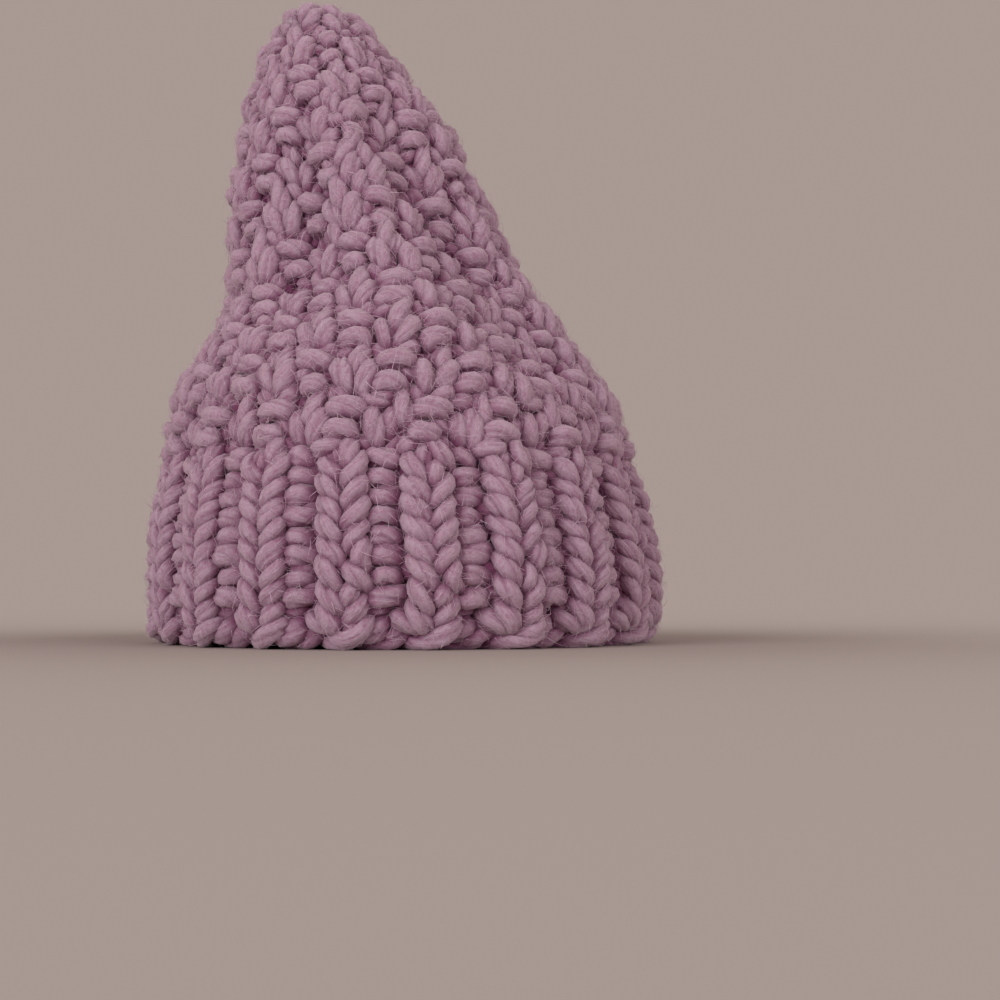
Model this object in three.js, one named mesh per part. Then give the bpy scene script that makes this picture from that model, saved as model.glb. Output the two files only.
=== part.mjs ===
import * as THREE from 'three';
import { mergeVertices } from 'three/addons/utils/BufferGeometryUtils.js';

// A tall knitted hat that stands on its cast-on edge. Millimetres, +Z up, front towards -Y,
// and +X to the right of someone who looks at the front. An angle of 0 is the middle of the
// front and grows towards +X.

// Driving dimensions
const bandTop = 68;
const edgeTop = 9;
const tipHeight = 249.5;
const seamGap = 0.3;
const fabricThickness = 12;

// The band's ribs: one raised column of stitches and one sunk column make a rib
const ribCount = 20;
const ribDepth = 3.2;
const ribFullness = 0.25;
const firstRibAngle = 9;
const ribFadeLow = 56;
const ribFadeHigh = 84;
const ribEdgeShare = 0.55;
const ribFootHeight = 16;

// The closed top of the crown, outside and inside
const tipDomeBase = 230;
const hollowTop = 229;
const hollowDomeBase = 196;

// How finely each surface is cut
const columnsPerRib = 6;
const edgeColumnsPerRib = 4;
const bandRows = 4;
const crownRows = 13;
const crownHollowRows = 6;
const domeRows = 4;

const lilac = 0x94717f;
const sunkLilac = 0x8b6876;
const woolRoughness = 0.95;

// Level sections of the outside, from the cast-on edge to the tip
const sections = [
  { height: 0, halfWidth: 91.8, halfDepth: 102.6, sideShift: 0, backShift: 0 },
  { height: 9, halfWidth: 92.4, halfDepth: 104, sideShift: 0, backShift: 0 },
  { height: 22, halfWidth: 92.6, halfDepth: 106, sideShift: 0, backShift: 0 },
  { height: 40, halfWidth: 91.2, halfDepth: 105.4, sideShift: -1, backShift: 0.5 },
  { height: 60, halfWidth: 87, halfDepth: 102, sideShift: -2, backShift: 1 },
  { height: 80, halfWidth: 85, halfDepth: 98, sideShift: -3.6, backShift: 2 },
  { height: 92, halfWidth: 81.4, halfDepth: 94.4, sideShift: -4.6, backShift: 2.8 },
  { height: 104, halfWidth: 74, halfDepth: 87.6, sideShift: -5, backShift: 3.8 },
  { height: 116, halfWidth: 66.4, halfDepth: 79, sideShift: -6.6, backShift: 5 },
  { height: 128, halfWidth: 60, halfDepth: 70.6, sideShift: -8, backShift: 6.6 },
  { height: 140, halfWidth: 54.8, halfDepth: 64, sideShift: -11.4, backShift: 8.2 },
  { height: 154, halfWidth: 51, halfDepth: 58.4, sideShift: -15.2, backShift: 9.8 },
  { height: 170, halfWidth: 46.6, halfDepth: 53.4, sideShift: -20.4, backShift: 11.4 },
  { height: 186, halfWidth: 42.2, halfDepth: 48.6, sideShift: -23.4, backShift: 12.8 },
  { height: 202, halfWidth: 38, halfDepth: 42, sideShift: -25.6, backShift: 14.2 },
  { height: 216, halfWidth: 31, halfDepth: 34.6, sideShift: -30.4, backShift: 15.2 },
  { height: 230, halfWidth: 23.6, halfDepth: 27, sideShift: -32, backShift: 15.8 },
  { height: 242, halfWidth: 18, halfDepth: 21, sideShift: -35, backShift: 16 },
  { height: 249.5, halfWidth: 13.6, halfDepth: 16, sideShift: -39.4, backShift: 16 },
];

// Folds of the crown, each with its heights, the angles at its two ends and its half spread
// in degrees. The depth is a share of the radius, and a lobe has a negative depth.
const folds = [
  { name: 'front right valley', low: 84, high: 212, lowAngle: 52, highAngle: 22, spread: 17, depth: 0.13 },
  { name: 'front left valley', low: 104, high: 204, lowAngle: -30, highAngle: -19, spread: 15, depth: 0.11 },
  { name: 'front lobe', low: 92, high: 214, lowAngle: 12, highAngle: 2, spread: 14, depth: -0.06 },
  { name: 'left shoulder', low: 120, high: 190, lowAngle: -70, highAngle: -64, spread: 26, depth: -0.05 },
  { name: 'right shoulder', low: 150, high: 214, lowAngle: 84, highAngle: 72, spread: 22, depth: -0.06 },
  { name: 'back valley', low: 96, high: 208, lowAngle: 158, highAngle: 176, spread: 19, depth: 0.13 },
  { name: 'back left valley', low: 108, high: 198, lowAngle: -122, highAngle: -134, spread: 17, depth: 0.1 },
];
const foldFade = 26;

// The cast-on edge's own section: how far a corner lies in from the outside, and how high
const edgeSection = [
  { inset: 2.4, height: 0 },
  { inset: 0, height: 2.6 },
  { inset: 0, height: 6.8 },
  { inset: 1.6, height: edgeTop - seamGap },
  { inset: 10.4, height: edgeTop - seamGap },
  { inset: 12, height: 6.8 },
  { inset: 12, height: 2.6 },
  { inset: 9.6, height: 0 },
];

function smoothStep(low, high, value) {
  const share = THREE.MathUtils.clamp((value - low) / (high - low), 0, 1);
  return share * share * (3 - 2 * share);
}

// One column of the section table at any height, on a smooth curve through the rows
function sectionValue(key, height) {
  const last = sections.length - 2;
  let row = 0;
  while (row < last && sections[row + 1].height < height) row += 1;
  const slopeAt = (index) => {
    const before = sections[Math.max(index - 1, 0)];
    const after = sections[Math.min(index + 1, sections.length - 1)];
    return (after[key] - before[key]) / (after.height - before.height);
  };
  const low = sections[row];
  const high = sections[row + 1];
  const span = high.height - low.height;
  const t = THREE.MathUtils.clamp((height - low.height) / span, 0, 1);
  const t2 = t * t;
  const t3 = t2 * t;
  return (2 * t3 - 3 * t2 + 1) * low[key] + (t3 - 2 * t2 + t) * span * slopeAt(row)
    + (3 * t2 - 2 * t3) * high[key] + (t3 - t2) * span * slopeAt(row + 1);
}

// The ribs' wave, from 1 on a raised column to -1 in a sunk one
function ribWave(angle) {
  const phase = ribCount * (angle - THREE.MathUtils.degToRad(firstRibAngle));
  return Math.cos(phase) + ribFullness * Math.sin(phase) ** 2;
}

// How much of the ribs' depth shows at a height: less at the cast-on edge, none in the crown
function ribShare(height) {
  const foot = ribEdgeShare + (1 - ribEdgeShare) * smoothStep(0, ribFootHeight, height);
  return foot * (1 - smoothStep(ribFadeLow, ribFadeHigh, height));
}

// What share of the radius the crown's folds leave
function foldShare(angle, height) {
  let share = 1;
  for (const fold of folds) {
    const along = (height - fold.low) / (fold.high - fold.low);
    const middle = THREE.MathUtils.degToRad(THREE.MathUtils.lerp(fold.lowAngle, fold.highAngle, along));
    const strength = smoothStep(fold.low, fold.low + foldFade, height)
      * (1 - smoothStep(fold.high - foldFade, fold.high, height));
    const away = Math.atan2(Math.sin(angle - middle), Math.cos(angle - middle));
    const spread = THREE.MathUtils.degToRad(fold.spread);
    share -= fold.depth * strength * Math.exp(-((away / spread) ** 2));
  }
  return share;
}

// Narrows a surface to a point over its last stretch, like a dome
function domeShare(height, base, top) {
  const along = THREE.MathUtils.clamp((height - base) / (top - base), 0, 1);
  return Math.sqrt(1 - along * along);
}

// The thickness measured level, which is more than the fabric's own where the wall leans
function levelThickness(height) {
  const step = 2;
  const below = sectionValue('halfWidth', height - step);
  const above = sectionValue('halfWidth', height + step);
  return fabricThickness * Math.hypot(1, (above - below) / (2 * step));
}

// A ring of points round the hat at one height, set in from the outside by a distance
function ring(height, inset, columns, dome) {
  const halfWidth = (sectionValue('halfWidth', height) - inset) * dome;
  const halfDepth = (sectionValue('halfDepth', height) - inset) * dome;
  const sideShift = sectionValue('sideShift', height);
  const backShift = sectionValue('backShift', height);
  const points = [];
  for (let column = 0; column < columns; column += 1) {
    const angle = THREE.MathUtils.degToRad(firstRibAngle) + (2 * Math.PI * column) / columns;
    const folded = foldShare(angle, height);
    const rib = ribDepth * ribShare(height) * ribWave(angle);
    points.push(new THREE.Vector3(
      sideShift + (halfWidth * folded + rib) * Math.sin(angle),
      backShift - (halfDepth * folded + rib) * Math.cos(angle),
      height,
    ));
  }
  return points;
}

// A closed mesh over a loop of rings, or over rings between two poles
function closedMesh(rings, poles) {
  const columns = rings[0].length;
  const points = rings.flat();
  const triangles = [];
  const bands = poles ? rings.length - 1 : rings.length;
  for (let row = 0; row < bands; row += 1) {
    const lower = row * columns;
    const upper = ((row + 1) % rings.length) * columns;
    for (let column = 0; column < columns; column += 1) {
      const next = (column + 1) % columns;
      triangles.push(lower + column, lower + next, upper + next);
      triangles.push(lower + column, upper + next, upper + column);
    }
  }
  if (poles) {
    const firstPole = points.push(poles[0]) - 1;
    const lastPole = points.push(poles[1]) - 1;
    const lastRow = (rings.length - 1) * columns;
    for (let column = 0; column < columns; column += 1) {
      const next = (column + 1) % columns;
      triangles.push(firstPole, next, column);
      triangles.push(lastPole, lastRow + column, lastRow + next);
    }
  }
  const geometry = new THREE.BufferGeometry();
  const positions = points.flatMap((point) => point.toArray());
  geometry.setAttribute('position', new THREE.Float32BufferAttribute(positions, 3));
  geometry.setIndex(triangles);
  return mergeVertices(geometry);
}

function evenSteps(low, high, count) {
  return Array.from({ length: count + 1 }, (_, index) => THREE.MathUtils.lerp(low, high, index / count));
}

// Heights that crowd together towards the top of a dome and stop short of it
function domeHeights(base, top) {
  const steps = Array.from({ length: domeRows }, (_, index) => (index + 1) / (domeRows + 1));
  return steps.map((share) => THREE.MathUtils.lerp(base, top, Math.sin((share * Math.PI) / 2)));
}

function knitMesh(name, geometry, colour) {
  const material = new THREE.MeshStandardMaterial({ color: colour, roughness: woolRoughness, metalness: 0 });
  geometry.computeVertexNormals();
  const mesh = new THREE.Mesh(geometry, material);
  mesh.name = name;
  return mesh;
}

// The rope-like row that the knitting starts from, flat underneath where the hat rests
function castOnEdge() {
  const columns = ribCount * edgeColumnsPerRib;
  const rings = edgeSection.map((corner) => ring(corner.height, corner.inset, columns, 1));
  return knitMesh('cast_on_edge', closedMesh(rings), sunkLilac);
}

// The ribbed band: the wall waves in and out, so each rib shows on both its faces
function ribbedBand() {
  const columns = ribCount * columnsPerRib;
  const heights = evenSteps(edgeTop, bandTop - seamGap, bandRows);
  const outside = heights.map((height) => ring(height, 0, columns, 1));
  const inside = heights.map((height) => ring(height, levelThickness(height), columns, 1)).reverse();
  return knitMesh('ribbed_band', closedMesh([...outside, ...inside]), lilac);
}

// The crown: a folded cone that leans to one side, hollow almost up to its blunt tip
function crown() {
  const columns = ribCount * columnsPerRib;
  const pole = (height) => new THREE.Vector3(
    sectionValue('sideShift', height),
    sectionValue('backShift', height),
    height,
  );
  const outsideHeights = [
    ...evenSteps(bandTop, tipDomeBase, crownRows),
    ...domeHeights(tipDomeBase, tipHeight),
  ];
  const hollowHeights = [
    ...evenSteps(bandTop, hollowDomeBase, crownHollowRows),
    ...domeHeights(hollowDomeBase, hollowTop),
  ];
  const outside = outsideHeights.map((height) => (
    ring(height, 0, columns, domeShare(height, tipDomeBase, tipHeight))
  ));
  const hollow = hollowHeights.map((height) => (
    ring(height, levelThickness(height), columns, domeShare(height, hollowDomeBase, hollowTop))
  ));
  const rings = [...hollow.reverse(), ...outside];
  return knitMesh('crown', closedMesh(rings, [pole(hollowTop), pole(tipHeight)]), lilac);
}

// The hat stands on the floor with the middle of its outline over the origin
const hat = new THREE.Group();
hat.add(castOnEdge(), ribbedBand(), crown());
const outline = new THREE.Box3().setFromObject(hat);
const middle = outline.getCenter(new THREE.Vector3());
hat.position.set(-middle.x, -middle.y, -outline.min.z);

export default hat;
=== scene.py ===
import math
import bpy
import numpy as np
from mathutils.kdtree import KDTree
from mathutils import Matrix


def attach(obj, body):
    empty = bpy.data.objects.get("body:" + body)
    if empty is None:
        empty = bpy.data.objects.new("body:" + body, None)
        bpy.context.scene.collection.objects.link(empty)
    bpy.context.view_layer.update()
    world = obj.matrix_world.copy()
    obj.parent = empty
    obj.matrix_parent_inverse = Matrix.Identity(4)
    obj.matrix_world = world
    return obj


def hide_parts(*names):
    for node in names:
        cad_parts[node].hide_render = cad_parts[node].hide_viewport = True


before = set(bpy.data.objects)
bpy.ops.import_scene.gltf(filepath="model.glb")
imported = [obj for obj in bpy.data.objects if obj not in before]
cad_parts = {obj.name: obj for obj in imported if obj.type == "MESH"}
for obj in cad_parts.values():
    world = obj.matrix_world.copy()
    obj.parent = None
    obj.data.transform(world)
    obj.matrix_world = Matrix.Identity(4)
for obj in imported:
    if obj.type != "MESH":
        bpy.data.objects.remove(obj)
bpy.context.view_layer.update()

# Lengths are in millimetres until a piece is made, and in metres from there on
mm = 0.001
rng = np.random.default_rng(11)


def clearSelection():
    if bpy.context.object and bpy.context.object.mode != "OBJECT":
        bpy.ops.object.mode_set(mode="OBJECT")
    bpy.ops.object.select_all(action="DESELECT")


# The camera looks at the front from low down, a little right of the middle
view = {
    "place": (0.0352, -0.650, 0.018),
    "tiltUp": 3.15,                   # degrees
    "across": 32.6,                   # degrees
}
clearSelection()
bpy.ops.object.camera_add(location=view["place"], rotation=(math.radians(90 + view["tiltUp"]), 0, 0))
camera = bpy.context.object
camera.name = "viewCamera"
camera.data.angle = math.radians(view["across"])
camera.data.clip_start = 0.01
bpy.context.scene.camera = camera
bpy.context.scene.view_settings.view_transform = "Standard"
print("camera set")

# The hat's form, the same as the solids have: it is what the knitting is laid over
hatForm = {
    "tip": 249.5,
    "domeBase": 230.0,
    "domeEnd": 0.9995,                # share of the dome's height where the form stops
    "halfThickness": 6.3,
    "foldFade": 26.0,
    "ribs": 20,
    "ribDepth": 3.2,
    "ribFullness": 0.25,
    "firstRib": 9.0,
    "ribFade": (56.0, 84.0),
    "ribFoot": (0.0, 16.0, 0.55),     # from, to, share of the depth at the foot
    # height, half width, half depth, shift to the side, shift to the back
    "sections": (
        (0, 91.8, 102.6, 0, 0), (9, 92.4, 104, 0, 0), (22, 92.6, 106, 0, 0), (40, 91.2, 105.4, -1, 0.5),
        (60, 87, 102, -2, 1), (80, 85, 98, -3.6, 2), (92, 81.4, 94.4, -4.6, 2.8), (104, 74, 87.6, -5, 3.8),
        (116, 66.4, 79, -6.6, 5), (128, 60, 70.6, -8, 6.6), (140, 54.8, 64, -11.4, 8.2),
        (154, 51, 58.4, -15.2, 9.8), (170, 46.6, 53.4, -20.4, 11.4), (186, 42.2, 48.6, -23.4, 12.8),
        (202, 38, 42, -25.6, 14.2), (216, 31, 34.6, -30.4, 15.2), (230, 23.6, 27, -32, 15.8),
        (242, 18, 21, -35, 16), (249.5, 13.6, 16, -39.4, 16),
    ),
    # low end, high end, angle at each, half spread in degrees, depth as a share of the radius
    "folds": (
        (84, 212, 52, 22, 17, 0.13), (104, 204, -30, -19, 15, 0.11), (92, 214, 12, 2, 14, -0.06),
        (120, 190, -70, -64, 26, -0.05), (150, 214, 84, 72, 22, -0.06), (96, 208, 158, 176, 19, 0.13),
        (108, 198, -122, -134, 17, 0.1),
    ),
}
sectionRows = np.array(hatForm["sections"], float)


def smoothStep(low, high, value):
    share = np.clip((value - low) / (high - low), 0.0, 1.0)
    return share * share * (3.0 - 2.0 * share)


def formColumn(column, height):       # one column of the sections, on a smooth curve
    heights, values = sectionRows[:, 0], sectionRows[:, column]
    slopes = np.gradient(values, heights)
    slopes[1:-1] = (values[2:] - values[:-2]) / (heights[2:] - heights[:-2])
    row = np.clip(np.searchsorted(heights, height) - 1, 0, len(heights) - 2)
    span = heights[row + 1] - heights[row]
    t = np.clip((height - heights[row]) / span, 0.0, 1.0)
    rise = 3 * t ** 2 - 2 * t ** 3
    return ((1 - rise) * values[row] + (t ** 3 - 2 * t ** 2 + t) * span * slopes[row]
            + rise * values[row + 1] + (t ** 3 - t ** 2) * span * slopes[row + 1])


def foldShare(angle, height):         # what the crown's folds leave of the radius
    share = np.ones_like(height)
    fade = hatForm["foldFade"]
    for low, high, lowAngle, highAngle, spread, depth in hatForm["folds"]:
        along = (height - low) / (high - low)
        middle = np.radians(lowAngle + (highAngle - lowAngle) * along)
        strength = smoothStep(low, low + fade, height) * (1 - smoothStep(high - fade, high, height))
        away = np.arctan2(np.sin(angle - middle), np.cos(angle - middle))
        share -= depth * strength * np.exp(-(away / math.radians(spread)) ** 2)
    return share


def domeShare(height):                # what the round tip leaves of the width
    along = (height - hatForm["domeBase"]) / (hatForm["tip"] - hatForm["domeBase"])
    return np.sqrt(1.0 - np.clip(along, 0.0, hatForm["domeEnd"]) ** 2)


def outsideWidth(height):             # half the hat's width at a height
    return formColumn(1, np.array(height)) * domeShare(height)


def outsidePoint(angle, height):
    share = foldShare(angle, height) * domeShare(height)
    return np.stack([
        formColumn(3, height) + formColumn(1, height) * share * np.sin(angle),
        formColumn(4, height) - formColumn(2, height) * share * np.cos(angle),
        height,
    ], axis=-1)


def ribWave(angle, height):           # how far the ribs stand out or in
    phase = hatForm["ribs"] * (angle - math.radians(hatForm["firstRib"]))
    low, high, footShare = hatForm["ribFoot"]
    foot = footShare + (1 - footShare) * smoothStep(low, high, height)
    fade = 1 - smoothStep(*hatForm["ribFade"], height)
    return hatForm["ribDepth"] * foot * fade * (np.cos(phase) + hatForm["ribFullness"] * np.sin(phase) ** 2)


# The way up the hat's slope, which the rounds of knitting are spaced along
domeBase, domeHeight = hatForm["domeBase"], hatForm["tip"] - hatForm["domeBase"]
domeTurns = np.linspace(0, 1.55, 80)[1:]
fineHeights = np.concatenate([np.linspace(0, domeBase, 461), domeBase + domeHeight * np.sin(domeTurns)])


def radiusUpTheSide(angle):
    side = outsidePoint(np.full_like(fineHeights, angle), fineHeights)[:, :2]
    middle = np.stack([formColumn(3, fineHeights), formColumn(4, fineHeights)], 1)
    return np.hypot(*(side - middle).T)


sideRadius = np.mean([radiusUpTheSide(angle) for angle in np.radians(np.arange(0, 360, 15))], axis=0)
fineSlants = np.concatenate([[0], np.cumsum(np.hypot(np.diff(fineHeights), np.diff(sideRadius)))])
topSlant = fineSlants[-1]


def heightAt(slant):
    return np.interp(slant, fineSlants, fineHeights)


def fabricPoint(angle, slant, out):   # a point in the fabric, out from the middle of its thickness
    turn, step = 0.01, 0.6
    slant = np.clip(slant, step, topSlant - step)
    here = outsidePoint(angle, heightAt(slant))
    across = outsidePoint(angle + turn, heightAt(slant)) - outsidePoint(angle - turn, heightAt(slant))
    up = outsidePoint(angle, heightAt(slant + step)) - outsidePoint(angle, heightAt(slant - step))
    normal = np.cross(across, up)
    normal /= np.linalg.norm(normal, axis=-1, keepdims=True)
    return here + normal * (out - hatForm["halfThickness"])[..., None]


# The knitting: every round is one ring of yarn, with a loop for each stitch. In the band the
# knit and purl columns alternate, and in the crown they change places every second round.
knitting = {
    "yarnRadius": 3.45,
    "pointsPerStitch": 20,
    "castOnStitches": 40,
    "bandRounds": 9,
    "bandRowHeight": 6.6,
    "firstRound": 12.4,               # how far up the slope the first round's middle is
    "knitShare": (0.39, 0.44),        # of two columns' width, the knit one's: in the band, in the crown
    "crownRowHeight": 9.2,
    "crownGap": 7.9,                  # from the last band round to the first crown round
    "stitchWidth": 13.5,
    "closing": 4.0,                   # how far from the tip's middle the last round may be
    "loopHeight": 0.92,               # share of the row height
    # tuck: how much further forward a loop's foot is than its head, in knit and in purl columns;
    # rise: how much higher a purl loop's right side is; leg: how thick the legs are;
    # shift: how far a strand is in front of or behind the middle
    "bandLoop": {"swing": 0.192, "lean": 0.068, "forward": 0.8, "tuck": (1.9, 0.4),
                 "rise": 1.3, "leg": 0.88, "shift": 3.2},
    "crownLoop": {"swing": 0.205, "lean": 0.02, "forward": 0.4, "tuck": (0.5, 0.2),
                  "rise": 0.9, "leg": 1.0, "shift": 2.75},
    "roundTop": 0.75,                 # below 1, a loop's head is flatter than an arc
    "footBegins": (72, 108),          # degrees from a loop's head where its foot takes over
    "footEnds": 132,                  # and from where it meets the next loop's
    "wave": (2.4, 0.34),              # how sharply a strand goes from front to back, and how long it stays
    "legFade": (-0.2, 0.6),           # where on that wave the thinner leg begins and ends
    "puff": 0.10,                     # how much fuller a strand is in front than behind
    # the column at the middle of the front: angle at each height
    "frontColumn": ((68, 0), (90, 3), (130, 6), (150, 10), (200, 6), (240, 2)),
    "decreaseAngles": (80, -135, -85, 140),
    "decreaseSpread": 22.0,
    "mergeGap": 0.42,                 # of a stitch's width, between stitches that become one
    "mergeWidth": 0.62,               # how wide their heads are
    "fewestStitches": 6,
    "leaveRibs": 0.4,                 # how fast the crown's columns go to their own places
    # how much the swing, height, head and depth differ from stitch to stitch
    "unevenSwing": 0.08,
    "unevenHeight": 0.035,
    "unevenHead": 0.35,
    "unevenDepth": 0.2,
}


def crownAngles(count, height):       # even over the front, and closer or wider near the decreases
    heights, angles = np.array(knitting["frontColumn"], float).T
    first = math.radians(np.interp(height, heights, angles))
    gap = knitting["stitchWidth"] / float(formColumn(1, np.array(height)))
    gap *= 1 if height < hatForm["domeBase"] else 2 * math.pi / (gap * count)
    even = first + 2 * math.pi * (np.arange(count) + 0.5) / count
    near = sum(np.exp(-(np.angle(np.exp(1j * (even - math.radians(a)))) / math.radians(
        knitting["decreaseSpread"])) ** 2) for a in knitting["decreaseAngles"])
    spare = (2 * math.pi - count * gap) / (gap * near.sum())
    gaps = gap * (1 + spare * near)
    return first + np.concatenate([[0], np.cumsum(gaps)[:-1]])


def decrease(angles, places):         # three stitches become one at each place
    count = len(angles)
    firsts = {int(np.argmin(np.abs(np.angle(np.exp(1j * (angles - math.radians(p))))))) - 1 for p in places}
    heads, child, stitch = np.zeros(count, int), 0, 0
    while stitch < count:
        taken = 3 if stitch in firsts and stitch + 3 <= count else 1
        heads[stitch:stitch + taken] = child
        stitch += taken
        child += 1
    return heads, child


def planRounds():                     # where every stitch of every round is, and what it carries
    knit = knitting
    count = knit["castOnStitches"]
    start = math.radians(hatForm["firstRib"] - 180 / hatForm["ribs"])
    angles = start + 2 * math.pi * np.arange(count) / count
    rounds = []
    for index in range(knit["bandRounds"]):
        slant = knit["firstRound"] + index * knit["bandRowHeight"]
        rounds.append({"slant": slant, "angles": angles, "rowHeight": knit["bandRowHeight"],
                       "sign": np.where(np.arange(count) % 2 == 1, 1.0, -1.0), "ribbed": True})
    slant = rounds[-1]["slant"] + knit["crownGap"]
    index, turn = 0, 0
    while slant < topSlant - knit["closing"]:
        height = float(heightAt(slant))
        wanted = 2 * math.pi * float(outsideWidth(height)) / knit["stitchWidth"]
        merges = min(2, round((count - max(wanted, knit["fewestStitches"])) / 2))
        if index % 2 == 0 and index and merges > 0:
            places = [knit["decreaseAngles"][(turn + n) % 4] for n in range(merges)]
            turn += merges
            rounds[-1]["heads"], count = decrease(rounds[-1]["angles"], places)
        if count == len(angles):      # the crown's columns leave the ribs little by little
            moved = crownAngles(count, height) - angles
            share = min(1, knit["leaveRibs"] * (index + 1))
            angles = angles + share * np.arctan2(np.sin(moved), np.cos(moved))
        else:
            angles = crownAngles(count, height)
        sign = np.where((np.arange(count) + index // 2) % 2 == 0, 1.0, -1.0)
        rounds.append({"slant": slant, "angles": angles, "rowHeight": knit["crownRowHeight"],
                       "sign": sign, "ribbed": False})
        slant += knit["crownRowHeight"]
        index += 1
    for this, above in zip(rounds, rounds[1:]):
        this.setdefault("heads", np.arange(len(this["angles"])))
        this["above"] = above
    rounds[-1]["heads"] = np.arange(count)
    rounds[-1]["above"] = rounds[-1]
    return rounds


def col(values):                      # one row for each stitch
    return values[:, None]


def roundPath(this):                  # the path of one round's yarn, stitch after stitch
    knit = knitting
    shape = knit["bandLoop"] if this["ribbed"] else knit["crownLoop"]
    count, points = len(this["angles"]), knit["pointsPerStitch"]
    t = -math.pi + 2 * math.pi * np.arange(points) / points
    angles = this["angles"]
    sign = this["sign"]
    gaps = (np.roll(angles, -1) - angles) % (2 * math.pi)
    share = knit["knitShare"][0 if this["ribbed"] else 1]
    rightGap = gaps * np.where(sign > 0, share, 1 - share)
    leftGap = np.roll(gaps - rightGap, 1)
    width = leftGap + rightGap
    above = this["above"]
    heads = this["heads"]
    siblings = np.array([np.sum(heads == h) for h in heads])
    order = np.array([np.sum(heads[:j] == heads[j]) for j in range(count)])
    aside = (order - (siblings - 1) / 2) * knit["mergeGap"] * width
    headAngles = above["angles"][heads] + aside
    headAngles = angles + np.arctan2(np.sin(headAngles - angles), np.cos(headAngles - angles))
    headSign = above["sign"][heads] if above is not this else sign
    headness = (1 + np.cos(t)) / 2
    narrow = np.where(siblings > 1, knit["mergeWidth"], 1.0)
    swing = shape["swing"] * rng.normal(1, knit["unevenSwing"], count)
    reach = np.where(t < 0, t / math.pi * col(leftGap), t / math.pi * col(rightGap))
    reach = reach * (1 - headness * (1 - col(narrow)))
    angle = (col(angles) + col(headAngles - angles) * headness + reach
             + col(swing * width) * np.sin(2 * t) - shape["lean"] * col(width) * np.cos(t))
    height = this["rowHeight"] * knit["loopHeight"] * rng.normal(1, knit["unevenHeight"], count)
    rise = np.sign(np.cos(t)) * np.abs(np.cos(t)) ** knit["roundTop"]
    slant = this["slant"] + col(height) * rise + col(rng.normal(0, knit["unevenHead"], count)) * headness
    footLow, footHigh = knit["footBegins"]
    lower = smoothStep(math.radians(footLow), math.radians(footHigh), np.abs(t))
    beside = np.where(t < 0, col(np.roll(sign, 1)), col(np.roll(sign, -1)))
    ends = smoothStep(math.radians(knit["footEnds"]), math.pi, np.abs(t))
    footSign = col(sign) * (1 - ends) + (col(sign) + beside) / 2 * ends
    facing = col(headSign) * (1 - lower) + footSign * lower
    sharp, stay = knit["wave"]
    wave = -np.tanh(sharp * (np.cos(2 * t) + stay)) / np.tanh(sharp * (1 + stay))
    slant = slant + shape["rise"] * np.sin(t) * smoothStep(0.0, 1.0, -facing)
    knitTuck, purlTuck = shape["tuck"]
    tuck = np.where(facing > 0, knitTuck, purlTuck)
    out = facing * (wave * shape["shift"] - tuck * np.cos(t) + shape["forward"])
    out = out + col(rng.normal(0, knit["unevenDepth"], count)) + ribWave(angle, heightAt(slant))
    leg = 1 - (1 - shape["leg"]) * smoothStep(*knit["legFade"], facing * wave) * (facing > 0)
    fullness = (1 + knit["puff"] * facing * wave) * leg
    return angle.ravel(), slant.ravel(), out.ravel(), fullness.ravel()


rounds = planRounds()
print("stitches per round:", [len(r["angles"]) for r in rounds])
paths, fullness = [], []
for this in rounds:
    angle, slant, out, full = roundPath(this)
    paths.append(fabricPoint(angle, slant, out))
    fullness.append(full)
print("rounds laid:", len(rounds), "points:", sum(len(p) for p in paths), "top slant", round(topSlant, 1))

# The cast-on edge: strands that twist round each other and lie flat on what the hat stands on
castOn = {"strands": 2, "middle": 5.1, "rise": 2.2, "depth": 2.9, "pointsPerStitch": 12}


def castOnPath(strand):
    count = knitting["castOnStitches"] * castOn["pointsPerStitch"]
    angle = 2 * math.pi * np.arange(count) / count
    start = 2 * math.pi * strand / castOn["strands"]
    phase = hatForm["ribs"] * (angle - math.radians(hatForm["firstRib"])) + start
    slant = castOn["middle"] + castOn["rise"] * np.sin(phase)
    out = castOn["depth"] * np.cos(phase) + ribWave(angle, heightAt(slant))
    return fabricPoint(angle, slant, out)


castOnPaths = [castOnPath(strand) for strand in range(castOn["strands"])]


# Settling: strands that overlap push each other apart, and each keeps its own length
settling = {
    "steps": 60,
    "contact": 0.80,                  # of the yarn's thickness, how close two strands come
    "push": 0.35,
    "longestPush": 0.8,               # in one step
    "tether": 0.03,
    "smooth": 0.10,
    "near": 1.5,                      # of the yarn's thickness, within which two points are watched
    "ownPoints": 6,                   # along its own strand, how many don't push a point
    "lengthFixes": 2,                 # how often the lengths are put right in one step
    "atOnce": 800,                    # points compared at a time
    "floorGap": 3.0,                  # how high the middle of the lowest strand lies
}


def watchedPairs(points, loopOf, sizes):   # points of two strands, or of one, that may press together
    near = settling["near"] * 2 * knitting["yarnRadius"]
    pairs = []
    for low in range(0, len(points), settling["atOnce"]):
        gap = np.linalg.norm(points[low:low + settling["atOnce"], None] - points[None], axis=2)
        a, b = np.nonzero(gap < near)
        a = a + low
        keep = a < b
        pairs.append(np.stack([a[keep], b[keep]]))
    a, b = np.concatenate(pairs, axis=1)
    apart = np.minimum(b - a, np.array(sizes)[loopOf[a]] - (b - a))
    keep = (loopOf[a] != loopOf[b]) | (apart > settling["ownPoints"])
    return a[keep], b[keep]


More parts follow.
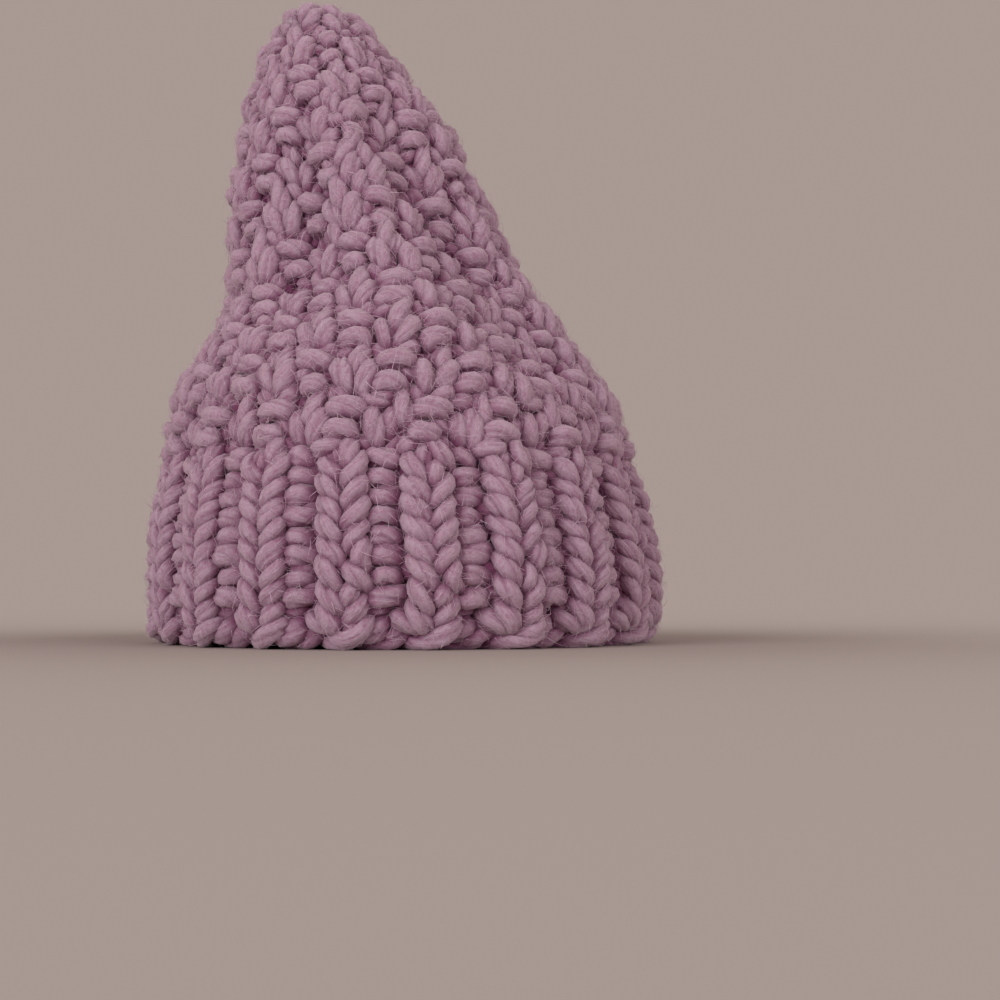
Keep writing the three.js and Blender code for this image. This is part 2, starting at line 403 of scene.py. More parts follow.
def settle(loops, fulls):
    half = np.concatenate(fulls) * knitting["yarnRadius"]
    sizes = [len(loop) for loop in loops]
    starts = np.concatenate([[0], np.cumsum(sizes)])
    points = np.concatenate(loops)
    total = len(points)
    before = np.arange(total) - 1
    after = np.arange(total) + 1
    for first, end in zip(starts, starts[1:]):
        before[first] = end - 1
        after[end - 1] = first
    rest = np.linalg.norm(points[after] - points, axis=1)
    a, b = watchedPairs(points, np.repeat(np.arange(len(sizes)), sizes), sizes)
    print("pairs of strands:", len(a))
    home = points.copy()
    reach = settling["contact"] * (half[a] + half[b])
    for step in range(settling["steps"]):
        way = points[a] - points[b]
        gap = np.maximum(np.linalg.norm(way, axis=1), 1e-6)
        push = np.maximum(reach - gap, 0) / gap * 0.5 * settling["push"]
        move = np.zeros_like(points)
        for axis in range(3):
            part = way[:, axis] * push
            move[:, axis] = (np.bincount(a, part, total) - np.bincount(b, part, total))
        length = np.linalg.norm(move, axis=1, keepdims=True)
        move *= np.minimum(1, settling["longestPush"] / np.maximum(length, 1e-6))
        points = points + move + settling["tether"] * (home - points)
        points += settling["smooth"] * ((points[before] + points[after]) / 2 - points)
        for repeat in range(settling["lengthFixes"]):
            along = points[after] - points
            length = np.linalg.norm(along, axis=1, keepdims=True)
            fix = along * (0.5 * (1 - rest[:, None] / np.maximum(length, 1e-6))) * 0.5
            points = points + fix
            points[after] -= fix
        points[:, 2] = np.maximum(points[:, 2], settling["floorGap"])
    return [points[first:end] for first, end in zip(starts, starts[1:])]


evenStrand = [np.ones(len(loop)) for loop in castOnPaths]
settled = settle(castOnPaths + paths, evenStrand + fullness)
castOnPaths, paths = settled[:2], settled[2:]
print("yarn settled")

# The yarn: three soft plies with a light twist, pressed together so only grooves show
yarn = {
    "plies": 3,
    "sidesPerPly": 4,
    "grooves": (0.27, 0.13, 0.20),    # depth of each as a share of the radius
    "shoulders": (0, 22, 60, 98),     # degrees from one groove to the next
    "grooveWidth": 13.0,              # degrees
    "ridge": 0.04,                    # how far a ply stands out past the radius, as a share of it
    "turn": 46.0,                     # length of one full twist
    "longest": 4.6,                   # how far apart its cross sections are on a straight
    "bend": 44.0,                     # and how many degrees apart on a bend
    "smoothings": 2,
    "smoothing": (0.5, -0.52),        # a step inwards, and a slightly longer one back out
    "finer": 6,                       # points that each stretch is first cut into
    "uneven": 0.07,
    "unevenTurn": 0.5,                # radians
    "waves": (3, 60, 5),              # fewest and most waves round a ring, and how many are added up
    "lumps": 0.85,                    # height of the unevenness over the surface
    "lumpSize": 3.0,
    "probe": 0.8,                     # how far off the surface a neighbour is looked for, in radii
    "pinch": (1.0, 1.6),              # how far its middle is where the painted shade between strands is full and where it ends
}
strandMiddles = np.concatenate(castOnPaths + paths)
strandTree = KDTree(len(strandMiddles))
for index, point in enumerate(strandMiddles.tolist()):
    strandTree.insert(point, index)
strandTree.balance()
yarnSides = yarn["plies"] * yarn["sidesPerPly"]


def addStrandSection():
    clearSelection()
    bpy.ops.curve.primitive_bezier_circle_add(radius=knitting["yarnRadius"] * mm)
    section = bpy.context.object
    section.name = "strandSection"
    section.data.splines.clear()
    spline = section.data.splines.new("POLY")
    spline.points.add(yarnSides - 1)
    spline.use_cyclic_u = True
    plyAngle = 360 / yarn["plies"]
    for index, point in enumerate(spline.points):
        ply, side = divmod(index, yarn["sidesPerPly"])
        across = yarn["shoulders"][side]
        around = -math.radians(ply * plyAngle + across)
        toGroove = min(across, plyAngle - across)
        groove = yarn["grooves"][ply if across < plyAngle / 2 else (ply + 1) % yarn["plies"]]
        dip = math.exp(-(toGroove / yarn["grooveWidth"]) ** 2)
        reach = 1 + yarn["ridge"] - (groove + yarn["ridge"]) * dip
        reach *= knitting["yarnRadius"] * mm
        point.co = (reach * math.cos(around), reach * math.sin(around), 0, 1)
    return section


def addLumps(tube):                   # soft lumps all over the yarn
    lumps = bpy.data.textures.new("yarnLumps", "CLOUDS")
    lumps.noise_scale = yarn["lumpSize"] * mm
    lumps.noise_depth = 1
    uneven = tube.modifiers.new("lumps", "DISPLACE")
    uneven.texture = lumps
    uneven.texture_coords = "LOCAL"
    uneven.strength = yarn["lumps"] * mm
    uneven.mid_level = 0.5
    bpy.ops.object.modifier_apply(modifier="lumps")


def fabricDepth(spots):               # how far out of the hat's form each point is, and which way it lies
    height = np.clip(spots[:, 2], 0, hatForm["tip"] - 0.5)
    middle = np.stack([formColumn(3, height), formColumn(4, height)], axis=1)
    level = spots[:, :2] - middle
    angle = np.arctan2(level[:, 0] / formColumn(1, height), -level[:, 1] / formColumn(2, height))
    nominal = np.linalg.norm(outsidePoint(angle, height)[:, :2] - middle, axis=1)
    return np.linalg.norm(level, axis=1) - nominal, level


def markDepth(tube):                  # how deep in the fabric each point is, which sets the painted shade in its recesses
    spots = np.empty(len(tube.data.vertices) * 3)
    tube.data.vertices.foreach_get("co", spots)
    depth = fabricDepth(spots.reshape(-1, 3) / mm)[0]
    tube.data.attributes.new("sunk", "FLOAT", "POINT").data.foreach_set("value", depth * mm)


def markPinch(tube):                  # how close another strand presses on each point, as 0 to 1, which sets the painted shade between strands
    sides, radius = yarnSides, knitting["yarnRadius"]
    spots = np.empty(len(tube.data.vertices) * 3)
    tube.data.vertices.foreach_get("co", spots)
    rings = spots.reshape(-1, sides, 3) / mm
    middle = rings.mean(1, keepdims=True)
    away = rings - middle
    away /= np.maximum(np.linalg.norm(away, axis=2, keepdims=True), 1e-6)
    probes = (rings + yarn["probe"] * radius * away).reshape(-1, 3)
    gap = np.array([strandTree.find(probe)[2] for probe in probes.tolist()])
    pinch = 1 - smoothStep(*yarn["pinch"], gap / radius)
    tube.data.attributes.new("pinched", "FLOAT", "POINT").data.foreach_set("value", pinch)


def smoothRing(values):               # evens out kinks and keeps the size of the bends
    for repeat in range(yarn["smoothings"]):
        for share in yarn["smoothing"]:
            values = values + share * ((np.roll(values, 1, 0) + np.roll(values, -1, 0)) / 2 - values)
    return values


def cutFinely(loop, full):            # places along a ring, closer together where it bends
    loop = smoothRing(loop)
    both = np.column_stack([loop, full])
    p0, p1, p2, p3 = np.roll(both, 1, 0), both, np.roll(both, -1, 0), np.roll(both, -2, 0)
    t = (np.arange(yarn["finer"]) / yarn["finer"])[None, :, None]
    p0, p1, p2, p3 = (p[:, None] for p in (p0, p1, p2, p3))
    fine = 0.5 * (2 * p1 + (p2 - p0) * t + (2 * p0 - 5 * p1 + 4 * p2 - p3) * t ** 2
                  + (3 * p1 - p0 - 3 * p2 + p3) * t ** 3)
    fine = fine.reshape(-1, 4)
    step = np.roll(fine, -1, 0)[:, :3] - fine[:, :3]
    length = np.linalg.norm(step, axis=1)
    way = step / np.maximum(length[:, None], 1e-6)
    turn = np.arccos(np.clip((way * np.roll(way, 1, 0)).sum(1), -1, 1))
    turn = smoothRing((turn + np.roll(turn, -1)) / 2)
    cost = length / yarn["longest"] + np.abs(turn) / math.radians(yarn["bend"])
    total = np.concatenate([[0], np.cumsum(cost)])
    count = round(total[-1])
    places = np.interp(np.arange(count) * total[-1] / count, total, np.arange(len(total)))
    return np.stack([np.interp(places, np.arange(len(fine) + 1), np.append(column, column[0]))
                     for column in fine.T], 1)


def unevenness(along):                # waves of random length that add up to slow changes
    fewest, most, count = yarn["waves"]
    perRing = rng.integers(fewest, most, count)
    return sum(np.sin(2 * math.pi * (along * k + rng.random())) for k in perRing) / (count / 2)


def addRing(tube, loop, full):        # one ring of yarn with an even twist, and how far along its points are
    steps = np.linalg.norm(np.roll(loop, -1, axis=0) - loop, axis=1)
    length = steps.sum()
    turns = max(1, round(length / yarn["turn"]))
    along = np.concatenate([[0], np.cumsum(steps)[:-1]]) / length
    waves = unevenness(along)
    spline = tube.data.splines.new("POLY")
    spline.points.add(len(loop) - 1)
    spline.use_cyclic_u = True
    spline.points.foreach_set("co", np.column_stack([loop * mm, np.ones(len(loop))]).ravel())
    spline.points.foreach_set("tilt", 2 * math.pi * turns * along + yarn["unevenTurn"] * waves)
    spline.points.foreach_set("radius", full + yarn["uneven"] * waves)
    return np.concatenate([[0], np.cumsum(steps)]) * mm


def stretchUv(tube, ways):            # the UV map's first coordinate becomes metres along the yarn
    uv = tube.data.uv_layers[0]
    places = np.empty(len(uv.data) * 2)
    uv.data.foreach_get("uv", places)
    places = places.reshape(-1, 2)
    corner = 0
    for way in ways:
        corners = (len(way) - 1) * 4 * yarnSides
        here = slice(corner, corner + corners)
        places[here, 0] = np.interp(places[here, 0] * (len(way) - 1), np.arange(len(way)), way)
        corner += corners
    uv.data.foreach_set("uv", places.ravel())


def spinYarn(name, loops, fulls, section):   # rings of yarn become one mesh with a UV map along them
    clearSelection()
    bpy.ops.curve.primitive_bezier_circle_add(radius=knitting["yarnRadius"] * mm)
    tube = bpy.context.object
    tube.name = name
    tube.data.dimensions = "3D"
    tube.data.splines.clear()
    ways = []
    for loop, full in zip(loops, fulls):
        places = cutFinely(loop, full)
        ways.append(addRing(tube, places[:, :3], places[:, 3]))
    tube.data.bevel_mode = "OBJECT"
    tube.data.bevel_object = section
    bpy.ops.object.convert(target="MESH")
    stretchUv(tube, ways)
    markPinch(tube)
    addLumps(tube)
    for vertex in tube.data.vertices:
        vertex.co.z = max(vertex.co.z, 0.0)
    markDepth(tube)
    bpy.ops.object.shade_smooth()
    return tube


# The wool's finish: fibres along the yarn, slow random changes of tone over the hat, and painted shade in the
# grooves between the plies, in the fabric's recesses and where strands press together. Coordinates along the
# yarn are in metres, and 0 to 1 round it.
woolFinish = {
    "pale": (0.53, 0.38, 0.485, 1),
    "middle": (0.435, 0.27, 0.365, 1),
    "rosy": (0.50, 0.31, 0.38, 1),
    # darker fibres and tangles, and the painted shade in the grooves between the plies
    "dark": (0.31, 0.12, 0.21, 1),
    # the colour of the painted shade laid into the fabric's recesses and where strands press together
    "paintedShade": (0.19, 0.026, 0.11, 1),
    # laid over the middle colour in this order: what each layer follows, the values where it begins
    # and ends, how strong it is at each, and its colour
    "layers": (
        ("fine", 0.36, 0.66, 0.0, 1.0, "pale"),
        ("broad", 0.35, 0.70, 0.0, 0.30, "dark"),
        ("fine", 0.42, 0.30, 0.0, 0.35, "dark"),
        ("patches", 0.35, 0.70, 0.0, 0.22, "rosy"),
        ("tangle", 0.50, 0.68, 0.0, 0.75, "pale"),
        ("tangle", 0.47, 0.30, 0.0, 0.55, "dark"),
        # painted shade in the grooves between the plies
        ("groove", 0.0, 1.0, 0.0, 0.35, "dark"),
        ("strays", 0.0, 1.0, 0.0, 0.60, "pale"),
        # painted shade: the deeper a point lies in the fabric, the darker it is painted
        ("sunk", -6.5 * mm, 0.3 * mm, 0.95, 0.0, "paintedShade"),
        # painted shade: darker where another strand presses close
        ("pinched", 0.0, 1.0, 0.0, 0.80, "paintedShade"),
    ),
    "fibresAlong": 150.0,
    "fibresAround": 24.0,
    # scale, detail, roughness and distortion of each noise
    "patchNoise": (28.0, 2.0, 0.5, 0.0),
    "tangleNoise": (620.0, 4.0, 0.65, 0.8),
    "fibreBump": 0.5,                 # of a millimetre
    "tangleBump": 0.5,                # of a millimetre
    "roughness": 0.92,
    "gloss": 0.25,
    "glow": 0.25,                     # how much light spreads inside the wool
    "glowReach": 1.6,                 # how far it spreads, in millimetres
    "glowColours": (1.0, 0.6, 0.75),
    "sheen": 0.5,
    "sheenRoughness": 0.5,
    "sheenColour": (0.9, 0.78, 0.84, 1),
}
streaks = {
    "fineNoise": (1.0, 3.0, 0.62, 0.35),
    "broadNoise": (0.28, 2.0, 0.5, 0.0),
    "strayNoise": (1.0, 1.0, 0.5, 1.2),
    "straySlant": (1.6, 0.28, 1.0),
    "strayWidth": 0.022,
    "grooveWidth": 0.2,               # of one ply, how far the painted shade of a groove reaches
}


def addNode(tree, kind, **values):
    node = tree.nodes.new(kind)
    for name, value in values.items():
        setattr(node, name, value)
    return node


def link(tree, output, target):
    tree.links.new(output, target)


def setInputs(node, values):
    for name, value in values.items():
        node.inputs[name].default_value = value


def addNoise(tree, place, scale, detail, roughness, distortion):
    noise = addNode(tree, "ShaderNodeTexNoise")
    setInputs(noise, {"Scale": scale, "Detail": detail, "Roughness": roughness, "Distortion": distortion})
    link(tree, place, noise.inputs["Vector"])
    return noise.outputs["Fac"]


def addMath(tree, operation, first, second=0.0):
    node = addNode(tree, "ShaderNodeMath", operation=operation)
    link(tree, first, node.inputs[0])
    if isinstance(second, (int, float)):
        node.inputs[1].default_value = second
    else:
        link(tree, second, node.inputs[1])
    return node.outputs[0]


def mixColours(tree, share, first, second):
    mix = addNode(tree, "ShaderNodeMix", data_type="RGBA")
    link(tree, share, mix.inputs[0])
    for target, value in ((mix.inputs[6], first), (mix.inputs[7], second)):
        if isinstance(value, tuple):
            target.default_value = value
        else:
            link(tree, value, target)
    return mix.outputs[2]


def spread(tree, value, low, high, toLow, toHigh, curve="LINEAR"):
    stretch = addNode(tree, "ShaderNodeMapRange", interpolation_type=curve)
    setInputs(stretch, {"From Min": low, "From Max": high, "To Min": toLow, "To Max": toHigh})
    link(tree, value, stretch.inputs["Value"])
    return stretch.outputs["Result"]


def buildFibreGroup():                # streaks that run with the yarn
    group = bpy.data.node_groups.new("fibreStreaks", "ShaderNodeTree")
    group.interface.new_socket("Place", in_out="INPUT", socket_type="NodeSocketVector")
    for name in ("Along", "Around"):
        group.interface.new_socket(name, in_out="INPUT", socket_type="NodeSocketFloat")
    for name in ("Fine", "Broad", "Groove", "Strays"):
        group.interface.new_socket(name, in_out="OUTPUT", socket_type="NodeSocketFloat")
    start = addNode(group, "NodeGroupInput")
    split = addNode(group, "ShaderNodeSeparateXYZ")
    link(group, start.outputs["Place"], split.inputs[0])
    joined = addNode(group, "ShaderNodeCombineXYZ")
    for axis, name in (("X", "Along"), ("Y", "Around")):
        link(group, addMath(group, "MULTIPLY", split.outputs[axis], start.outputs[name]), joined.inputs[axis])
    place = joined.outputs[0]
    plies = addMath(group, "MULTIPLY", split.outputs["Y"], yarn["plies"])
    fromGroove = addMath(group, "PINGPONG", plies, 0.5)   # 0 in a groove and 0.5 on the ply's back
    slanted = addNode(group, "ShaderNodeVectorMath", operation="MULTIPLY")
    slanted.inputs[1].default_value = streaks["straySlant"]
    link(group, place, slanted.inputs[0])
    crossing = addNoise(group, slanted.outputs[0], *streaks["strayNoise"])
    fromStray = addMath(group, "ABSOLUTE", addMath(group, "SUBTRACT", crossing, 0.5))
    masks = {
        "Fine": addNoise(group, place, *streaks["fineNoise"]),
        "Broad": addNoise(group, place, *streaks["broadNoise"]),
        # where the painted shade of the ply grooves goes
        "Groove": spread(group, fromGroove, 0.0, streaks["grooveWidth"], 1.0, 0.0, "SMOOTHSTEP"),
        "Strays": spread(group, fromStray, 0.0, streaks["strayWidth"], 1.0, 0.0, "SMOOTHSTEP"),
    }
    end = addNode(group, "NodeGroupOutput")
    for name, mask in masks.items():
        link(group, mask, end.inputs[name])
    return group


def addBump(tree, height, distance, normal=None):
    bump = addNode(tree, "ShaderNodeBump")
    setInputs(bump, {"Strength": 1.0, "Distance": distance})
    link(tree, height, bump.inputs["Height"])
    if normal:
        link(tree, normal, bump.inputs["Normal"])
    return bump.outputs["Normal"]


def makeWool(fibreGroup):
    wool = bpy.data.materials.new("lilacWool")
    wool.use_nodes = True
    tree = wool.node_tree
    shader = tree.nodes["Principled BSDF"]
    setInputs(shader, {
        "Roughness": woolFinish["roughness"],
        "Specular IOR Level": woolFinish["gloss"],
        "Subsurface Weight": woolFinish["glow"],
        "Subsurface Radius": woolFinish["glowColours"],
        "Subsurface Scale": woolFinish["glowReach"] * mm,
        "Sheen Weight": woolFinish["sheen"],
        "Sheen Roughness": woolFinish["sheenRoughness"],
        "Sheen Tint": woolFinish["sheenColour"],
    })
    fibres = addNode(tree, "ShaderNodeGroup", node_tree=fibreGroup)
    setInputs(fibres, {"Along": woolFinish["fibresAlong"], "Around": woolFinish["fibresAround"]})
    link(tree, addNode(tree, "ShaderNodeUVMap").outputs["UV"], fibres.inputs["Place"])
    coords = addNode(tree, "ShaderNodeTexCoord").outputs["Object"]
    masks = {name.lower(): fibres.outputs[name] for name in ("Fine", "Broad", "Groove", "Strays")}
    masks["patches"] = addNoise(tree, coords, *woolFinish["patchNoise"])
    masks["tangle"] = addNoise(tree, coords, *woolFinish["tangleNoise"])
    for name in ("sunk", "pinched"):
        masks[name] = addNode(tree, "ShaderNodeAttribute", attribute_name=name).outputs["Fac"]
    colour = woolFinish["middle"]
    for follows, low, high, atLow, atHigh, paint in woolFinish["layers"]:
        share = spread(tree, masks[follows], low, high, atLow, atHigh)
        colour = mixColours(tree, share, colour, woolFinish[paint])
    link(tree, colour, shader.inputs["Base Color"])
    normal = addBump(tree, masks["fine"], woolFinish["fibreBump"] * mm)
    normal = addBump(tree, masks["tangle"], woolFinish["tangleBump"] * mm, normal)
    link(tree, normal, shader.inputs["Normal"])
    return wool


wool = makeWool(buildFibreGroup())
section = addStrandSection()
bandEnd = knitting["bandRounds"]
# each piece's first round, the one after its last, and the solid that it stands for
pieces = {
    "ribbedBandLow": (0, 5, "ribbed_band"),
    "ribbedBandHigh": (5, bandEnd, "ribbed_band"),
    "crownLow": (bandEnd, bandEnd + 4, "crown"),
    "crownMiddle": (bandEnd + 4, bandEnd + 10, "crown"),
    "crownTip": (bandEnd + 10, len(paths), "crown"),
}
rings = {name: (paths[first:end], fullness[first:end], node) for name, (first, end, node) in pieces.items()}
yarnPieces = []
for name, (loops, fulls, node) in {"castOnEdge": (castOnPaths, evenStrand, "cast_on_edge"), **rings}.items():
    piece = spinYarn(name, loops, fulls, section)
    piece.data.materials.clear()
    piece.data.materials.append(wool)
    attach(piece, "root")
    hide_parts(node)
    yarnPieces.append(piece)
    print(name, "triangles", sum(len(p.vertices) - 2 for p in piece.data.polygons))
bpy.data.objects.remove(section)

# Loose fibres: most lie over the strands and bridge the gaps, the others stand off the yarn
haze = {
    "fibres": 37000,
    "lying": 0.72,                    # share of them
    "reach": (3.0, 9.0),              # how far a lying fibre goes
    "length": (1.5, 6.5),             # of one that stands off
    "thickness": (0.055, 0.11),       # half of a fibre's own
    "slide": 0.8,                     # how far along the yarn a start is moved from its place
    "ends": (0.1, 0.05),              # how high over the yarn a lying fibre starts and ends
    "bow": (0.5, 0.16),               # how high its middle lies, and how much more for its length
    "sideways": 0.06,                 # how far to the side its middle may be, for its length
    "root": 0.15,                     # how deep in the yarn a standing fibre starts
    "lift": 0.5,                      # how steeply it leaves the yarn
    "stray": 0.6,
    "bend": (0.55, 0.45),             # shares of its length before and after it bends
    "curl": 0.6,
    "droop": 0.25,
    "outermost": -3.2,                # how deep in the fabric a fibre may start
    "ribShare": 0.6,                  # how much of the ribs' depth counts for that
    "longestStep": 6,                 # between two rings of points of one strand
    "floorGap": 0.1,
    "facing": 0.1,                    # how much a start faces outwards, at the least
    "topFacing": 0.2,                 # and upwards, on the tip
    "palest": (0.74, 0.56, 0.66, 1),
    "darkest": (0.56, 0.37, 0.48, 1),
    "shadeNoise": (900.0, 2.0, 0.5, 0.0),
    "shadeSpread": (0.35, 0.65),      # where on that noise the darkest and the palest are reached
    "roughness": 0.8,
    "sheen": 0.3,
    # piece, from and to which height, and its share of the fibres
    "pieces": (("bandHaze", 0, 68, 0.32), ("crownHazeLow", 68, 140, 0.37), ("crownHazeHigh", 140, 260, 0.31)),
}


def addFibreTemplate():               # one fibre: a three-sided spike with a ring at its middle
    clearSelection()
    bpy.ops.mesh.primitive_cone_add(vertices=3, radius1=1, radius2=0, depth=1, location=(0, 0, 0))
    fibre = bpy.context.object
    bpy.ops.object.mode_set(mode="EDIT")
    bpy.ops.mesh.select_all(action="SELECT")
    bpy.ops.mesh.bisect(plane_co=(0, 0, 0), plane_no=(0, 0, 1))
    bpy.ops.object.mode_set(mode="OBJECT")
    points = np.array([v.co[:] for v in fibre.data.vertices])
    points[:, 2] += 0.5
    faces = [tuple(p.vertices) for p in fibre.data.polygons]
    bpy.data.objects.remove(fibre)
    return points, faces


def yarnSurface():                    # places on the outer side of the yarn, with normals and directions
    spots, normals, tangents = [], [], []
    for piece in yarnPieces:
        data = piece.data
        spot = np.empty(len(data.vertices) * 3)
        data.vertices.foreach_get("co", spot)
        normal = np.empty(len(data.vertices) * 3)
        data.vertex_normals.foreach_get("vector", normal)
        spot, normal = spot.reshape(-1, 3) / mm, normal.reshape(-1, 3)
        tangent = np.roll(spot, -yarnSides, axis=0) - spot
        length = np.linalg.norm(tangent, axis=1, keepdims=True)
        tangent = tangent / np.maximum(length, 1e-6)
        sound = length[:, 0] < haze["longestStep"]
        spots.append(spot[sound])
        normals.append(normal[sound])
        tangents.append(tangent[sound])
    spots, normals, tangents = (np.concatenate(part) for part in (spots, normals, tangents))
    out, level = fabricDepth(spots)
    out = out - ribWave(np.arctan2(level[:, 0], -level[:, 1]), spots[:, 2]) * haze["ribShare"]
    facing = (level * normals[:, :2]).sum(1) / np.maximum(np.linalg.norm(level, axis=1), 1e-6)
    onSide = (out > haze["outermost"]) & (facing > haze["facing"])
    onTip = (spots[:, 2] > hatForm["domeBase"]) & (normals[:, 2] > haze["topFacing"])
    near = onSide | onTip
    return spots[near], normals[near], tangents[near]


def lyingFibres(chosen, spots, normals, tree):   # the root, the lifted middle and the far end of each
    shortest, longest = haze["reach"]
    count = len(chosen)
    way = rng.normal(0, 1, (count, 3))
    way -= (way * normals[chosen]).sum(1, keepdims=True) * normals[chosen]
    way /= np.maximum(np.linalg.norm(way, axis=1, keepdims=True), 1e-6)
    aim = spots[chosen] + way * (shortest + (longest - shortest) * rng.random((count, 1)))
    other = np.array([tree.find(point)[1] for point in aim.tolist()])
    start, end = spots[chosen], spots[other]
    normal = normals[chosen] + normals[other]
    normal /= np.maximum(np.linalg.norm(normal, axis=1, keepdims=True), 1e-6)
    span = np.linalg.norm(end - start, axis=1, keepdims=True)
    least, more = haze["bow"]
    aside = haze["sideways"] * span * rng.normal(0, 1, (count, 3))
    middle = (start + end) / 2 + (least + more * span) * normal + aside
    liftStart, liftEnd = haze["ends"]
    return start + liftStart * normal, middle, end + liftEnd * normal


def standingFibres(chosen, spots, normals, tangents):
    shortest, longest = haze["length"]
    count = len(chosen)
    root, normal = spots[chosen], normals[chosen]
    way = tangents[chosen] * rng.choice((-1, 1), (count, 1))
    lift = haze["lift"] * np.abs(rng.normal(0, 1, (count, 1))) * normal
    way += lift + haze["stray"] * rng.normal(0, 1, (count, 3))
    way /= np.linalg.norm(way, axis=1, keepdims=True)
    length = shortest + (longest - shortest) * rng.random((count, 1)) ** 2
    bend = haze["curl"] * rng.normal(0, 1, (count, 3)) - haze["droop"] * normal
    first, last = haze["bend"]
    middle = root + first * way * length
    return root - haze["root"] * normal, middle, middle + last * (way + bend) * length


def addHaze(name, low, high, count, spots, normals, tangents, template, faces):
    inside = np.nonzero((spots[:, 2] >= low) & (spots[:, 2] < high))[0]
    tree = KDTree(len(inside))
    for index in inside.tolist():
        tree.insert(spots[index].tolist(), index)
    tree.balance()
    chosen = np.concatenate([rng.permutation(inside) for turn in range(count // len(inside) + 1)])[:count]
    spots = spots + tangents * rng.uniform(-haze["slide"], haze["slide"], (len(spots), 1))
    lying = int(count * haze["lying"])
    ends = zip(lyingFibres(chosen[:lying], spots, normals, tree),
               standingFibres(chosen[lying:], spots, normals, tangents))
    start, middle, end = (np.concatenate(pair) for pair in ends)
    way = end - start
    way /= np.maximum(np.linalg.norm(way, axis=1, keepdims=True), 1e-6)
    side = np.cross(way, normals[chosen] + 0.01)   # a little aslant, for fibres along the normal
    side /= np.maximum(np.linalg.norm(side, axis=1, keepdims=True), 1e-6)
    other = np.cross(way, side)
    x, y, z = (template[:, axis][None, :, None] for axis in range(3))
    line = (start[:, None] * (1 - z) * (1 - 2 * z) + middle[:, None] * 4 * z * (1 - z)
            + end[:, None] * z * (2 * z - 1))
    thickness = rng.uniform(*haze["thickness"], (count, 1, 1))
    points = line + thickness * (side[:, None] * x + other[:, None] * y)
    points[:, :, 2] = np.maximum(points[:, :, 2], haze["floorGap"])
    allFaces = []
    for face in faces:
        copies = np.array(face)[None] + len(template) * np.arange(count)[:, None]
        allFaces += copies.tolist()
    mesh = bpy.data.meshes.new(name)
    mesh.from_pydata((points.reshape(-1, 3) * mm).tolist(), [], allFaces)
    mesh.validate()
    piece = bpy.data.objects.new(name, mesh)
    bpy.context.scene.collection.objects.link(piece)
    return piece


def makeHazeMaterial():
    fuzz = bpy.data.materials.new("lilacFuzz")
    fuzz.use_nodes = True
    tree = fuzz.node_tree
    shader = tree.nodes["Principled BSDF"]
    setInputs(shader, {"Roughness": haze["roughness"], "Sheen Weight": haze["sheen"]})
    noise = addNoise(tree, addNode(tree, "ShaderNodeTexCoord").outputs["Object"], *haze["shadeNoise"])
    share = spread(tree, noise, *haze["shadeSpread"], 0.0, 1.0)
    link(tree, mixColours(tree, share, haze["darkest"], haze["palest"]), shader.inputs["Base Color"])
    return fuzz


fuzz = makeHazeMaterial()
template, faces = addFibreTemplate()
spots, normals, tangents = yarnSurface()
print("places for loose fibres:", len(spots))
for name, low, high, share in haze["pieces"]:
    piece = addHaze(name, low, high, int(share * haze["fibres"]), spots, normals, tangents, template, faces)
    piece.data.materials.append(fuzz)
    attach(piece, "root")
    print(name, "triangles", sum(len(p.vertices) - 2 for p in piece.data.polygons))

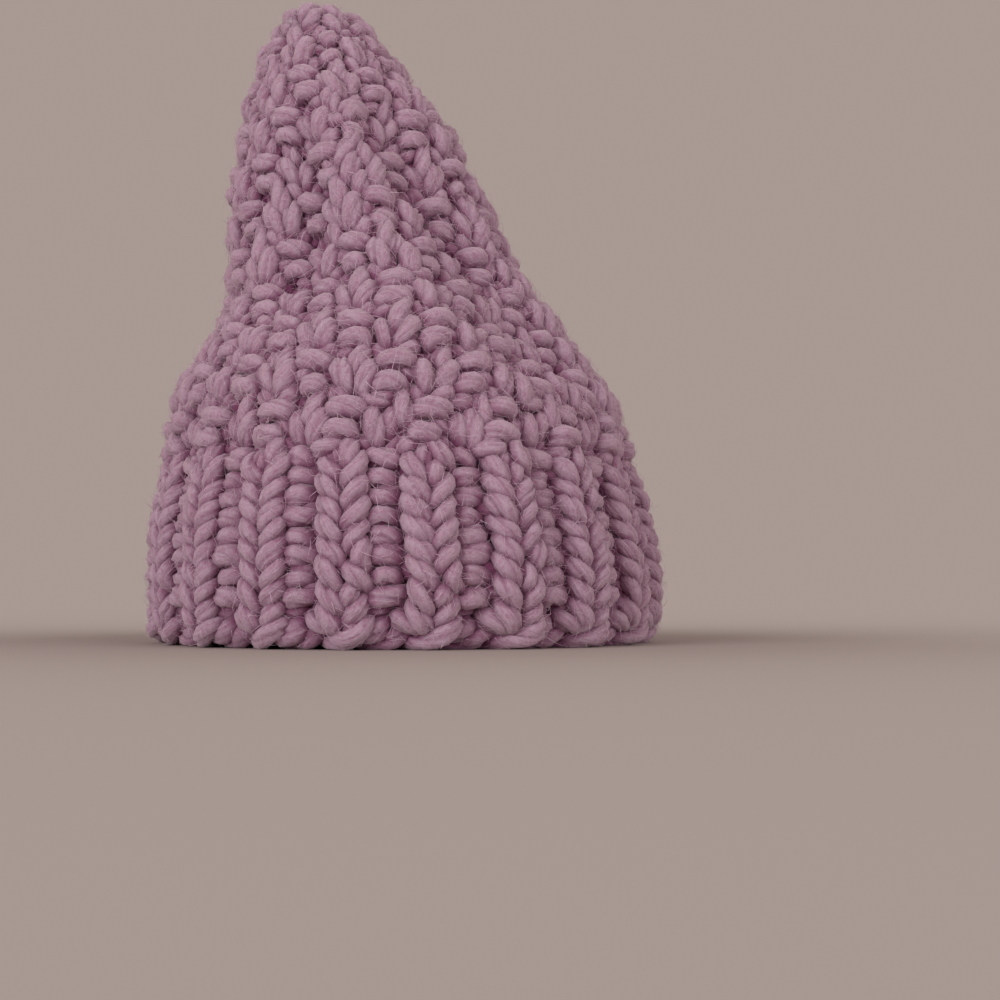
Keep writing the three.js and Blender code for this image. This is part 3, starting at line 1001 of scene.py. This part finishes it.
# The surface it stands on, which fades into the room, and the soft light
stage = {
    "room": (0.60, 0.485, 0.445),
    "roomStrength": 0.66,
    "floor": (0.475, 0.415, 0.39, 1),
    "floorSize": 8,
    "floorRoughness": 0.9,
    "floorGloss": 0.1,
    "fade": (7.5, 0.5),               # one over the distance where it begins and ends
    "aim": (0, 0, 0.1),               # where both lights point
    "keyPlace": (-1.75, -2.2, 0.9),
    "keySize": 1.8,
    "keyPower": 44,
    "fillPlace": (1.9, -1.8, 1.0),
    "fillSize": 2.4,
    "fillPower": 26,
}
clearSelection()
bpy.ops.mesh.primitive_plane_add(size=stage["floorSize"], location=(0, 0, 0))
floor = bpy.context.object
floor.name = "paleFloor"
floorPaint = bpy.data.materials.new("palePaint")
floorPaint.use_nodes = True
paintTree = floorPaint.node_tree
paint = paintTree.nodes["Principled BSDF"]
setInputs(paint, {"Base Color": stage["floor"], "Roughness": stage["floorRoughness"],
                  "Specular IOR Level": stage["floorGloss"]})
roomLight = {"Color": (*stage["room"], 1), "Strength": stage["roomStrength"]}
glow = addNode(paintTree, "ShaderNodeEmission")
setInputs(glow, roomLight)
floorCoords = addNode(paintTree, "ShaderNodeTexCoord")
distance = addNode(paintTree, "ShaderNodeVectorMath", operation="LENGTH")
link(paintTree, floorCoords.outputs["Object"], distance.inputs[0])
nearness = addNode(paintTree, "ShaderNodeMath", operation="DIVIDE")
nearness.inputs[0].default_value = 1.0
link(paintTree, distance.outputs["Value"], nearness.inputs[1])
fade = spread(paintTree, nearness.outputs[0], *stage["fade"], 0.0, 1.0, "SMOOTHSTEP")
blend = addNode(paintTree, "ShaderNodeMixShader")
link(paintTree, fade, blend.inputs[0])
link(paintTree, paint.outputs[0], blend.inputs[1])
link(paintTree, glow.outputs[0], blend.inputs[2])
link(paintTree, blend.outputs[0], paintTree.nodes["Material Output"].inputs["Surface"])
floor.data.materials.append(floorPaint)

world = bpy.data.worlds.new("softRoom")
bpy.context.scene.world = world
world.use_nodes = True
setInputs(world.node_tree.nodes["Background"], roomLight)


def areaLight(name, place, target, size, power):
    clearSelection()
    bpy.ops.object.light_add(type="AREA", location=place)
    light = bpy.context.object
    light.name = name
    light.data.size = size
    light.data.energy = power
    way = np.array(target) - np.array(place)
    flat = math.hypot(way[0], way[1])
    light.rotation_euler = (math.atan2(flat, -way[2]), 0, math.atan2(-way[0], way[1]))
    return light


areaLight("keyLight", stage["keyPlace"], stage["aim"], stage["keySize"], stage["keyPower"])
areaLight("fillLight", stage["fillPlace"], stage["aim"], stage["fillSize"], stage["fillPower"])
print("stage set")
